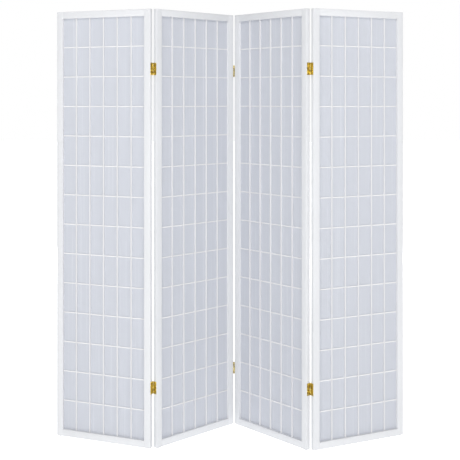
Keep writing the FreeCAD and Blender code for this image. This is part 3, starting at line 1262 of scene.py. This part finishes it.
@dataclass(frozen=True)
class PaperSheet:
    """The sheet glued across a panel's lattice, slack by a hair between the slats."""

    slack: float = 0.32 * MM
    steps_across: int = 8
    steps_up: int = 12
    fullness: float = 0.7
    waves: int = 9
    wave_across: tuple[float, float] = (20.0, 120.0)
    wave_up: tuple[float, float] = (-14.0, 14.0)

    def grid(self, stops: Sequence[float], steps: int) -> np.ndarray:
        """Even steps between neighbouring stops."""
        lines = [np.linspace(first, after, steps, endpoint=False) for first, after in zip(stops, stops[1:])]
        return np.append(np.concatenate(lines), stops[-1])

    def hollow(self, places: np.ndarray, stops: Sequence[float]) -> np.ndarray:
        """How free the sheet is at each place.

        Args:
            places: the places along one axis.
            stops: where the slats and the edges of the opening hold it.

        Returns:
            0 at the stops, up to 1 between them.
        """
        inner = np.searchsorted(stops, places, side="right").clip(1, len(stops) - 1)
        low, high = np.array(stops)[inner - 1], np.array(stops)[inner]
        share = np.clip((places - low) / (high - low), 0.0, 1.0)
        return np.sin(math.pi * share) ** self.fullness

    def mesh(self, sizes: PanelSizes, lattice: Lattice, number: int) -> bpy.types.Mesh:
        """The sheet, closed and of its packed thickness, with its slack.

        Args:
            sizes: the panel's sizes.
            lattice: the lattice that it lies on.
            number: the panel's number, which seeds its waves.

        Returns:
            The sheet in the panel's axes.
        """
        first_x, pitch_x = lattice.across(sizes)
        first_z, pitch_z = lattice.up(sizes)
        low, high = sizes.paper_low, sizes.paper_high
        opening = (sizes.stile_face, sizes.width - sizes.stile_face)
        stops_x = [opening[0], *(first_x + pitch_x * step for step in range(lattice.uprights)), opening[1]]
        stops_z = [sizes.inner_bottom, *(first_z + pitch_z * step for step in range(lattice.crossbars))]
        stops_z.append(sizes.inner_top)
        xs = np.concatenate(([low.x], self.grid(stops_x, self.steps_across), [high.x]))
        zs = np.concatenate(([low.z], self.grid(stops_z, self.steps_up), [high.z]))
        free = np.outer(self.hollow(zs, stops_z), self.hollow(xs, stops_x))
        free[:, (0, -1)] = 0.0
        free[(0, -1), :] = 0.0
        chance = np.random.default_rng(SEED + number)
        waves = np.zeros((len(zs), len(xs)))
        for _ in range(self.waves):
            across, up = chance.uniform(*self.wave_across), chance.uniform(*self.wave_up)
            phase = chance.uniform(0.0, 2 * math.pi)
            waves += np.sin(np.add.outer(zs * up, xs * across) + phase)
        waves = (waves - waves.min()) / (waves.max() - waves.min())
        lift = free * waves * self.slack
        vertices, faces = [], []
        columns = len(xs)
        for depth in (low.y, high.y):
            for row, z in enumerate(zs):
                vertices += [(x, depth + lift[row, column], z) for column, x in enumerate(xs)]
        back = columns * len(zs)
        for row in range(len(zs) - 1):
            for column in range(columns - 1):
                corner = row * columns + column
                faces.append((corner, corner + 1, corner + columns + 1, corner + columns))
                faces.append(tuple(back + index for index in reversed(faces[-1])))
        rim = list(range(columns))
        rim += [row * columns + columns - 1 for row in range(1, len(zs))]
        rim += [(len(zs) - 1) * columns + column for column in range(columns - 2, -1, -1)]
        rim += [row * columns for row in range(len(zs) - 2, 0, -1)]
        for here, after in zip(rim, rim[1:] + rim[:1]):
            faces.append((after, here, here + back, after + back))
        return mesh_from(vertices, faces)

    def dress(
        self, axes: PanelAxes, sizes: PanelSizes, lattice: Lattice, slats: list[bpy.types.Object]
    ) -> None:
        """Args:
            axes: where the panel stands.
            sizes: the panel's sizes.
            lattice: the lattice that it lies on.
            slats: that lattice's pieces; not used.
        """
        mesh = self.mesh(sizes, lattice, axes.number)
        node = f"panel_{axes.number}_paper"
        store_grain(mesh, Run.UP, node)
        sheet = finished(node, "sheet", mesh, axes.matrix(), PAPER, axes.body)


@dataclass(frozen=True)
class Beading:
    """The four strips that close a panel's rebate behind the paper."""

    width: float = 7.0 * MM
    easing: float = 1.3 * MM
    joint_easing: float = 0.15 * MM

    def strip(self, low: Sequence[float], high: Sequence[float], run: Run, name: str) -> bpy.types.Mesh:
        """One strip, rounded along its back edges.

        Args:
            low: the lowest corner.
            high: the highest corner.
            run: the way that it runs.
            name: gives it a grain of its own.

        Returns:
            The strip.
        """

        def easing(share: Vector, way: Vector) -> float:
            """An edge's radius: full along the back, and hardly any elsewhere."""
            along = abs(way.z if run is Run.UP else way.x) > HALF
            return self.easing if along and share.y > HALF else self.joint_easing

        mesh = eased_box(low, high, easing)
        store_grain(mesh, run, name)
        return mesh

    def dress(self, axes: PanelAxes) -> None:
        """Make and finish the strips of one panel.

        Args:
            axes: where the panel stands.
        """
        node = f"panel_{axes.number}_paper_beading"
        low, high = axes.box("paper_beading")
        inner_left, inner_right = low.x + self.width, high.x - self.width
        left = (low, (inner_left, high.y, high.z), Run.UP)
        right = ((inner_right, low.y, low.z), high, Run.UP)
        bottom = ((inner_left, low.y, low.z), (inner_right, high.y, low.z + self.width), Run.ACROSS)
        top = ((inner_left, low.y, high.z - self.width), (inner_right, high.y, high.z), Run.ACROSS)
        sides = enumerate((left, right, bottom, top))
        strips = [self.strip(*side, f"{node}_{place}") for place, side in sides]
        finished(node, "strips", joined(strips), axes.matrix(), LATTICE_PAINT, axes.body)


# ---------------------------------------------------------------- feet, hinges and their screws


@dataclass(frozen=True)
class Glides:
    """The nail-on glides under a panel's stiles."""

    radius: float = 6.5 * MM
    taper: float = 1.0 * MM
    rounding: float = 0.5 * MM
    nail_radius: float = 1.0 * MM
    nail_length: float = 12.0 * MM
    curve_in: float = 0.3
    curve_up: float = 0.25
    rim_drop: float = 0.6
    rim_in: float = 0.4
    nail_shank: float = 0.85
    sides: int = 40
    packed_sides: int = 8
    form: NodeForm = field(default_factory=fixing_rows_form)

    def shape(self, height: float) -> bpy.types.Mesh:
        """One glide, its top at Z 0, with its nail above.

        Args:
            height: how high the glide stands.

        Returns:
            The glide.
        """
        foot = self.radius - self.taper
        profile = [
            (0.0, -height),
            (foot - self.rounding, -height),
            (foot - self.rounding * self.curve_in, -height + self.rounding * self.curve_up),
            (foot, -height + self.rounding),
            (self.radius, -self.rounding * self.rim_drop),
            (self.radius - self.rounding * self.rim_in, 0.0),
            (self.nail_radius, 0.0),
            (self.nail_radius, self.nail_length * self.nail_shank),
            (0.0, self.nail_length),
        ]
        return turned_mesh(profile, self.sides)

    def dress(self, axes: PanelAxes, sizes: PanelSizes) -> None:
        """Make and finish the feet of one panel.

        Args:
            axes: where the panel stands.
            sizes: the panel's sizes.
        """
        node = f"panel_{axes.number}_feet"
        low, _ = axes.box("feet")
        height = sizes.foot
        pattern = linked("glide", self.shape(height))
        inset = self.radius * math.cos(math.pi / self.packed_sides)
        first = (low.x + inset, sizes.thickness / 2, height)
        mesh = self.form.mesh(
            fixing=pattern,
            count=2,
            step=(sizes.width - 2 * first[0], 0.0, 0.0),
            rows=1,
            row_step=(0.0, 0.0, 0.0),
            first=first,
            turn=(0.0, 0.0, 0.0),
            seed=SEED + axes.number,
            material=PLASTIC.material(),
        )
        bpy.data.objects.remove(pattern)
        store_grain(mesh, Run.UP, node)
        finished(node, "glides", mesh, axes.matrix(), PLASTIC, axes.body)


@dataclass(frozen=True)
class ButtHinge:
    """A pinned butt hinge: pressed leaves with countersunk holes, rolled knuckles and a loose pin.

    crown_curve gives the head's crown as shares of its radius and height, and pin_end the pin's rounded
    end as shares of its radius at heights from that end.
    """

    length: float = 50.0 * MM
    leaf_thickness: float = 1.2 * MM
    leaf_width: float = 18.5 * MM
    pin_radius: float = 1.6 * MM
    bore_radius: float = 1.65 * MM
    knuckle_gap: float = 0.4 * MM
    notch_gap: float = 0.4 * MM
    pin_from_edge: float = 2.4 * MM
    easing: float = 0.18 * MM
    knuckles: int = 3
    screws: int = 3
    screw_spacing: float = 17.0 * MM
    head_radius: float = 2.4 * MM
    head_crown: float = 0.3 * MM
    shank_radius: float = 1.3 * MM
    screw_length: float = 14.0 * MM
    hole_gap: float = 0.05 * MM
    sink_gap: float = 0.16 * MM
    slot_width: float = 0.62 * MM
    slot_length: float = 2.9 * MM
    slot_depth: float = 0.75 * MM
    tip_length: float = 2.5 * MM
    head_rim: float = 0.08 * MM
    crown_curve: tuple[tuple[float, float], ...] = ((0.0, 1.0), (0.45, 0.8), (0.8, 0.3))
    pin_end: tuple[tuple[float, float], ...] = (
        (0.0, 0.0), (0.55, 0.05 * MM), (0.85, 0.18 * MM), (1.0, 0.45 * MM)
    )
    sharp: float = 0.0001 * MM
    sink_past: float = 0.2 * MM
    leaf_segments: int = 2
    sides: int = 48

    @property
    def knuckle_radius(self) -> float:
        """The outside radius of a knuckle."""
        return self.bore_radius + self.leaf_thickness

    def tube(self, radius: float, low: float, high: float, easing: float) -> bpy.types.Mesh:
        """A round bar about the pin's axis, eased at its rims.

        Args:
            radius: its radius.
            low: its lower end.
            high: its upper end.
            easing: how far its rims are eased.

        Returns:
            The bar.
        """
        profile = [(0.0, low), (radius - easing, low), (radius, low + easing)]
        profile += [(radius, high - easing), (radius - easing, high), (0.0, high)]
        return turned_mesh(profile, self.sides)

    def screw_depth(self) -> float:
        """How far the screws lie from the pin's axis along the leaf."""
        return (self.leaf_width + self.knuckle_radius) / 2

    def screw_heights(self) -> list[float]:
        """The screws' heights above the hinge's lower end."""
        middle = (self.screws - 1) / 2
        return [self.length / 2 + (row - middle) * self.screw_spacing for row in range(self.screws)]

    def leaf(self, side: int, inward: int, own: Sequence[int]) -> bpy.types.Mesh:
        """One leaf about its pin's axis, from the hinge's lower end up.

        Args:
            side: -1 where the wood is on the leaf's left, 1 on its right.
            inward: the way along Y from the pin to the middle of the wood.
            own: the knuckles that this leaf rolls round the pin, counted from below.

        Returns:
            The leaf with its knuckles, bore and countersunk holes.
        """
        back, face = side * self.pin_from_edge, side * (self.pin_from_edge - self.leaf_thickness)
        far = inward * self.leaf_width
        low = (min(back, face), min(0.0, far), 0.0)
        high = (max(back, face), max(0.0, far), self.length)
        tools = []
        pitch = (self.length + self.knuckle_gap) / self.knuckles
        room = inward * (self.knuckle_radius + self.notch_gap)
        spare = self.leaf_thickness
        for place in range(self.knuckles):
            start = place * pitch
            if place in own:
                continue
            edges = (start - self.knuckle_gap if place else -spare, start + pitch)
            if place == self.knuckles - 1:
                edges = (edges[0], self.length + spare)
            near = (low[0] - spare, min(room, -inward * spare), edges[0])
            beyond = (high[0] + spare, max(room, -inward * spare), edges[1])
            tools.append((Cut.TAKE, box_mesh(near, beyond)))
        for place in own:
            start = place * pitch
            barrel = self.tube(self.knuckle_radius, start, start + pitch - self.knuckle_gap, self.easing)
            tools.append((Cut.ADD, barrel))
        tools.append((Cut.TAKE, self.tube(self.bore_radius, -spare, self.length + spare, self.sharp)))
        for height in self.screw_heights():
            tools.append((Cut.TAKE, self.countersink(side, inward, height)))
        return carved(eased_box(low, high, lambda share, way: self.easing, self.leaf_segments), tools)

    def countersink(self, side: int, inward: int, height: float) -> bpy.types.Mesh:
        """The cutter for one countersunk hole, a little past both faces of the leaf.

        Args:
            side: -1 where the wood is on the leaf's left, 1 on its right.
            inward: the way along Y from the pin to the middle of the wood.
            height: the hole's height above the hinge's lower end.

        Returns:
            The cutter.
        """
        past, back = self.sink_past, -self.leaf_thickness
        slope = (self.head_radius - self.shank_radius) / self.leaf_thickness
        wide = self.head_radius + self.sink_gap + slope * past
        narrow = self.shank_radius + self.hole_gap
        profile = [(0.0, past), (wide, past), (narrow, back), (narrow, back - past), (0.0, back - past)]
        mesh = turned_mesh(profile, self.sides // 2)
        face_x = side * (self.pin_from_edge - self.leaf_thickness)
        mesh.transform(self.screw_axis(side, (face_x, inward * self.screw_depth(), height)))
        outward(mesh)
        return mesh

    def screw_axis(self, side: int, point: Sequence[float]) -> Matrix:
        """The way from a screw's own axes, its head up, to its place on a leaf."""
        return Matrix.Translation(Vector(point)) @ Matrix.Rotation(-side * math.pi / 2, 4, "Y")

    def screw(self) -> bpy.types.Mesh:
        """One oval-headed screw, its rim at Z 0 and its point below, with a cross recess.

        Returns:
            The screw.
        """
        head = self.leaf_thickness
        tip = self.screw_length
        profile = [(share * self.head_radius, rise * self.head_crown) for share, rise in self.crown_curve]
        profile += [
            (self.head_radius, -self.head_rim),
            (self.shank_radius, -head),
            (self.shank_radius, -tip + self.tip_length),
            (0.0, -tip),
        ]
        cross = []
        for turn in (0.0, math.pi / 2):
            slot = box_mesh(
                (-self.slot_length / 2, -self.slot_width / 2, -self.slot_depth),
                (self.slot_length / 2, self.slot_width / 2, MM),
            )
            slot.transform(Matrix.Rotation(turn, 4, "Z"))
            cross.append((Cut.TAKE, slot))
        return carved(turned_mesh(profile, self.sides // 2), cross)

    def pin(self) -> bpy.types.Mesh:
        """The pin, with peened ends.

        Returns:
            The pin, from the lower end of the hinge up.
        """
        profile = [(share * self.pin_radius, height) for share, height in self.pin_end]
        profile += [(radius, self.length - height) for radius, height in reversed(profile)]
        return turned_mesh(profile, self.sides)


@dataclass(frozen=True)
class HingedJoint:
    """The upper and lower hinge between two neighbouring panels."""

    left: PanelAxes
    right: PanelAxes
    hinge: ButtHinge = field(default_factory=ButtHinge)

    @property
    def name(self) -> str:
        """The joint's name among the nodes."""
        return f"hinge_{self.left.number}_{self.right.number}"

    def axis(self) -> Vector:
        """The pins' axis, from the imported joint.

        Returns:
            Its place on the floor.
        """
        wanted = f"fold_{self.left.number}_{self.right.number}"
        joint = next(item for item in frame["joints"] if item["name"] == wanted)
        return Vector((joint["pos_m"][0], joint["pos_m"][1], 0.0))

    def face(self) -> Face:
        """The side of the panels that the pins lie at."""
        return Face.BACK if self.left.local(self.axis()).y > 0 else Face.FRONT

    def heights(self) -> list[float]:
        """The lower ends of the lower and the upper hinge."""
        low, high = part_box(f"{self.name}_pins")
        return [low[2], high[2] - self.hinge.length]

    def dress(self) -> None:
        """Make and finish the leaves and pins of both hinges."""
        inward = -self.face().value
        owned = range(self.hinge.knuckles)
        leaves = {
            "left_leaves": (self.left, self.hinge.leaf(-1, inward, owned[0::2])),
            "right_leaves": (self.right, self.hinge.leaf(1, inward, owned[1::2])),
            "pins": (self.left, self.hinge.pin()),
        }
        for name, (axes, shape) in leaves.items():
            both = []
            for height in self.heights():
                copy = shape.copy()
                copy.transform(Matrix.Translation((0.0, 0.0, height)))
                both.append(copy)
            bpy.data.meshes.remove(shape)
            mesh = joined(both)
            place = Matrix.Translation(self.axis()) @ Matrix.Rotation(axes.turn, 4, "Z")
            node = f"{self.name}_{name}"
            store_grain(mesh, Run.UP, node)
            finished(node, "plated", mesh, place, BRASS, axes.body)


@dataclass(frozen=True)
class HingeScrews:
    """The countersunk screws that hold a panel's leaves."""

    hinge: ButtHinge = field(default_factory=ButtHinge)
    form: NodeForm = field(default_factory=fixing_rows_form)

    def dress(self, axes: PanelAxes, sizes: PanelSizes, joints: Sequence[HingedJoint]) -> None:
        """Make and finish the screws in one panel's edges.

        Args:
            axes: where the panel stands.
            sizes: the panel's sizes; not used.
            joints: all the screen's joints; those of this panel are used.
        """
        pattern = linked("screw", self.hinge.screw())
        rows = []
        for joint in joints:
            if axes.number not in (joint.left.number, joint.right.number):
                continue
            side = -1 if joint.left.number == axes.number else 1
            pin = axes.local(joint.axis())
            lower, upper = joint.heights()
            face_x = pin.x + side * (self.hinge.pin_from_edge - self.hinge.leaf_thickness)
            depth = pin.y - joint.face().value * self.hinge.screw_depth()
            first = (face_x, depth, lower + self.hinge.screw_heights()[0])
            rows.append(
                self.form.mesh(
                    fixing=pattern,
                    count=self.hinge.screws,
                    step=(0.0, 0.0, self.hinge.screw_spacing),
                    rows=2,
                    row_step=(0.0, 0.0, upper - lower),
                    first=first,
                    turn=(0.0, -side * math.pi / 2, 0.0),
                    seed=SEED + joint.left.number,
                    material=BRASS.material(),
                )
            )
        bpy.data.objects.remove(pattern)
        mesh = joined(rows)
        node = f"panel_{axes.number}_hinge_screws"
        store_grain(mesh, Run.UP, node)
        finished(node, "brass", mesh, axes.matrix(), BRASS, axes.body)


# ---------------------------------------------------------------- studio


@dataclass(frozen=True)
class Studio:
    """A pale floor, soft light from all round and the photograph's viewpoint."""

    camera_place: Vector = field(default_factory=lambda: Vector((-0.00055, -4.13352, 1.4094)))
    lens: float = 77.0
    shift: float = -0.28
    picture_side: float = 36.0
    turned_side: float = 17.2
    backdrop: float = 1.0
    ambient: float = 0.4
    floor_size: float = 60.0
    floor_roughness: float = 0.9
    floor_specular: float = 0.1
    floor_colour: Colour = (0.8, 0.8, 0.8)
    floor_glow: float = 0.6
    camera_glow: float = 0.22
    aim_height: float = 0.7
    corner: Vector = field(default_factory=lambda: Vector((2.6, 4.9, 0.9)))
    corner_size: float = 1.8
    front_power: float = 35.0
    back_power: float = 60.0
    key_power: float = 178.0
    key_place: Vector = field(default_factory=lambda: Vector((0.0, -5.6, 4.9)))
    key_size: float = 2.0

    def camera(self) -> None:
        """A level camera; the shift brings the whole height of the screen into the square picture.

        The sensor's height sets the picture. Its width is smaller, so that views from other sides,
        which are fitted to the width, step back far enough to hold the screen in spite of the shift.
        """
        data = bpy.data.cameras.new("camera")
        data.lens = self.lens
        data.sensor_fit = "VERTICAL"
        data.sensor_height = self.picture_side
        data.sensor_width = self.turned_side
        data.shift_y = self.shift
        obj = bpy.data.objects.new("camera", data)
        obj.location = self.camera_place
        obj.rotation_euler = (math.pi / 2, 0.0, 0.0)
        bpy.context.scene.collection.objects.link(obj)
        bpy.context.scene.camera = obj

    def floor(self) -> None:
        """A plain pale floor, a little brighter to the camera, so that it meets the backdrop unseen."""
        half = self.floor_size / 2
        mesh = bpy.data.meshes.new("floor")
        mesh.from_pydata(
            [(-half, -half, 0), (half, -half, 0), (half, half, 0), (-half, half, 0)], [], [(0, 1, 2, 3)]
        )
        shader = Shader("floor")
        paint = shader.node(
            "ShaderNodeBsdfPrincipled",
            roughness=self.floor_roughness,
            specular_ior_level=self.floor_specular,
        )
        paint.inputs["Base Color"].default_value = (*self.floor_colour, 1.0)
        glow = shader.node("ShaderNodeEmission")
        path = shader.node("ShaderNodeLightPath")
        seen = shader.node("ShaderNodeMath", operation="MULTIPLY_ADD")
        seen.inputs[1].default_value = self.camera_glow
        seen.inputs[2].default_value = self.floor_glow
        shader.link(path.outputs["Is Camera Ray"], seen.inputs[0])
        shader.link(seen.outputs[0], glow.inputs["Strength"])
        both = shader.node("ShaderNodeAddShader")
        shader.link(paint.outputs[0], both.inputs[0])
        shader.link(glow.outputs[0], both.inputs[1])
        shader.link(both.outputs[0], shader.output.inputs["Surface"])
        mesh.materials.append(shader.material)
        linked("floor", mesh)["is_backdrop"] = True

    def softbox(self, name: str, place: Vector, aim: Vector, size: float, power: float) -> None:
        """A square soft light.

        Args:
            name: the light's name.
            place: where it stands.
            aim: what it points at.
            size: its side.
            power: its power in watts.
        """
        data = bpy.data.lights.new(name, "AREA")
        data.shape = "SQUARE"
        data.size = size
        data.energy = power
        obj = bpy.data.objects.new(name, data)
        obj.location = place
        obj.rotation_euler = (aim - place).to_track_quat("-Z", "Y").to_euler()
        bpy.context.scene.collection.objects.link(obj)

    def surroundings(self) -> None:
        """A white backdrop for the camera, and a dimmer even light from all round for the screen."""
        world = bpy.data.worlds.new("studio")
        world.use_nodes = True
        tree = world.node_tree
        seen = tree.nodes["Background"]
        seen.inputs["Color"].default_value = (1.0, 1.0, 1.0, 1.0)
        seen.inputs["Strength"].default_value = self.backdrop
        lighting = tree.nodes.new("ShaderNodeBackground")
        lighting.inputs["Color"].default_value = (1.0, 1.0, 1.0, 1.0)
        lighting.inputs["Strength"].default_value = self.ambient
        path = tree.nodes.new("ShaderNodeLightPath")
        choice = tree.nodes.new("ShaderNodeMixShader")
        tree.links.new(path.outputs["Is Camera Ray"], choice.inputs["Fac"])
        tree.links.new(lighting.outputs[0], choice.inputs[1])
        tree.links.new(seen.outputs[0], choice.inputs[2])
        tree.links.new(choice.outputs[0], tree.nodes["World Output"].inputs["Surface"])
        bpy.context.scene.world = world

    def light(self) -> None:
        """Even light from all round, a low softbox at each corner and a larger one above the viewer."""
        self.surroundings()
        middle = Vector((0.0, 0.0, self.aim_height))
        corners = {"front": (-1, self.front_power), "back": (1, self.back_power)}
        for end, (depth, power) in corners.items():
            for side, name in ((-1, "left"), (1, "right")):
                place = Vector((side * self.corner.x, depth * self.corner.y, self.corner.z))
                self.softbox(f"{end}_{name}", place, middle, self.corner_size, power)
        self.softbox("key", self.key_place, middle, self.key_size, self.key_power)
        bpy.context.scene.view_settings.view_transform = "Standard"

    def set_up(self) -> None:
        """Make the camera, the floor and the light."""
        self.camera()
        self.floor()
        self.light()


# ---------------------------------------------------------------- the whole screen


def dress_borders(axes: PanelAxes) -> None:
    """Paint the border strips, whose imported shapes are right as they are.

    Args:
        axes: where the panel stands.
    """
    border = frame["nodes"][f"panel_{axes.number}_lattice_border"]
    for slot in border.material_slots:
        slot.material = BORDER_PAINT.material()


def write_sizes() -> None:
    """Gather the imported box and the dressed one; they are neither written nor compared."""
    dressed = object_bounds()
    boxes = {
        name: [[float(value) for value in corner] for corner in corners]
        for name, corners in (("cad", CAD_BOX), ("visual", dressed))
    }


def main() -> None:
    """Dress every panel and joint, then light the scene."""
    logging.basicConfig(level=logging.INFO, format="%(name)s %(message)s")
    members, lattice, paper, beading = FrameMembers(), Lattice(), PaperSheet(), Beading()
    glides, screws = Glides(), HingeScrews()
    panels = [PanelAxes.of_panel(number) for number in PANEL_NUMBERS]
    joints = [HingedJoint(left, right) for left, right in zip(panels, panels[1:])]
    for axes in panels:
        sizes = PanelSizes.of_panel(axes)
        members.dress(axes, sizes)
        slats = lattice.dress(axes, sizes)
        paper.dress(axes, sizes, lattice, slats)
        beading.dress(axes)
        dress_borders(axes)
        glides.dress(axes, sizes)
        screws.dress(axes, sizes, joints)
    for joint in joints:
        joint.dress()
    Studio().set_up()
    write_sizes()


if __name__ == "__main__":
    main()
